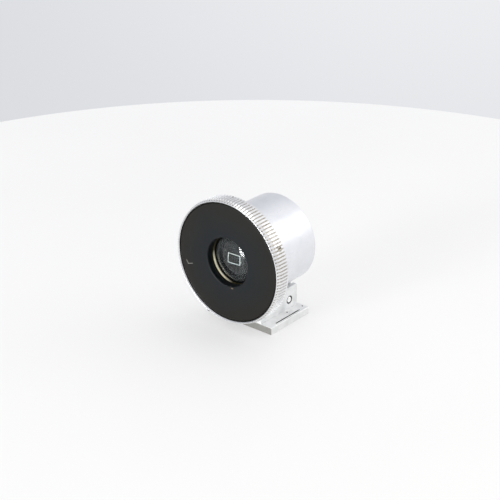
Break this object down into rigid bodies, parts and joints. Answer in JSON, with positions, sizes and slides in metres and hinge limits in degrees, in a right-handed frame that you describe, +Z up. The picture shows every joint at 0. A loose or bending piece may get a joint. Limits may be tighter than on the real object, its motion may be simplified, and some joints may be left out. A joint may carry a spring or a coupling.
{
  "type": "shoe-mount viewfinder",
  "caption": "Clip-on optical viewfinder: short chrome tube, wide fluted ring with black eye disc and recessed eyepiece, on a tilting accessory-shoe foot.",
  "frame": {"origin": "centre of the foot's flat bottom face", "axes": "+Z up from the shoe, +Y along the optical axis towards the subject (also the way the foot slides into the shoe), eye side at -Y, +X to the right seen from the eye"},
  "size_m": [0.0286, 0.0185, 0.0304],
  "materials": {
    "ring_chrome": "bright coin-edge chrome, slightly warm in the flutes",
    "tube_chrome": "fine satin chrome",
    "foot_chrome": "satin chrome with worn bright edges",
    "bracket_chrome": "matt bead-blasted chrome",
    "black_enamel": "satin black enamel with light scratches",
    "black_cell": "matt black, anodised",
    "mask_black": "dead black",
    "line_white": "lit white frame line",
    "worn_brass": "brass with worn lacquer",
    "lens_glass": "polished optical glass",
    "opal": "frosted opal",
    "screw_steel": "blackened steel with bright slots",
    "pin_steel": "bright domed end",
    "spring_steel": "plain spring steel"
  },
  "bodies": {
    "foot": {"foot_plate": "foot_chrome", "hinge_bracket": "bracket_chrome", "bracket_rivets": "screw_steel", "hinge_pin": "pin_steel", "hinge_washers": "spring_steel", "tilt_spring": "spring_steel", "spring_screw": "screw_steel"},
    "finder": {"fluted_ring": "ring_chrome", "ring_set_screws": "screw_steel", "eye_disc": "black_enamel", "eyepiece_cell": "black_cell", "lens_ring": "worn_brass", "eyepiece_lens": "lens_glass", "frame_mask": "mask_black", "frame_line": "line_white", "reticle_glass": "lens_glass", "reticle_ring": "worn_brass", "light_tunnel": "black_cell", "body_tube": "tube_chrome", "opal_window": "opal", "window_ring": "foot_chrome", "hinge_lug": "bracket_chrome", "lug_screws": "screw_steel"}
  },
  "joints": [
    {"name": "parallax_tilt", "type": "hinge", "parent": "foot", "child": "finder", "pos_m": [0, 0.00347, 0.00371], "axis": [-1, 0, 0], "range_deg": [0, 4]}
  ]
}
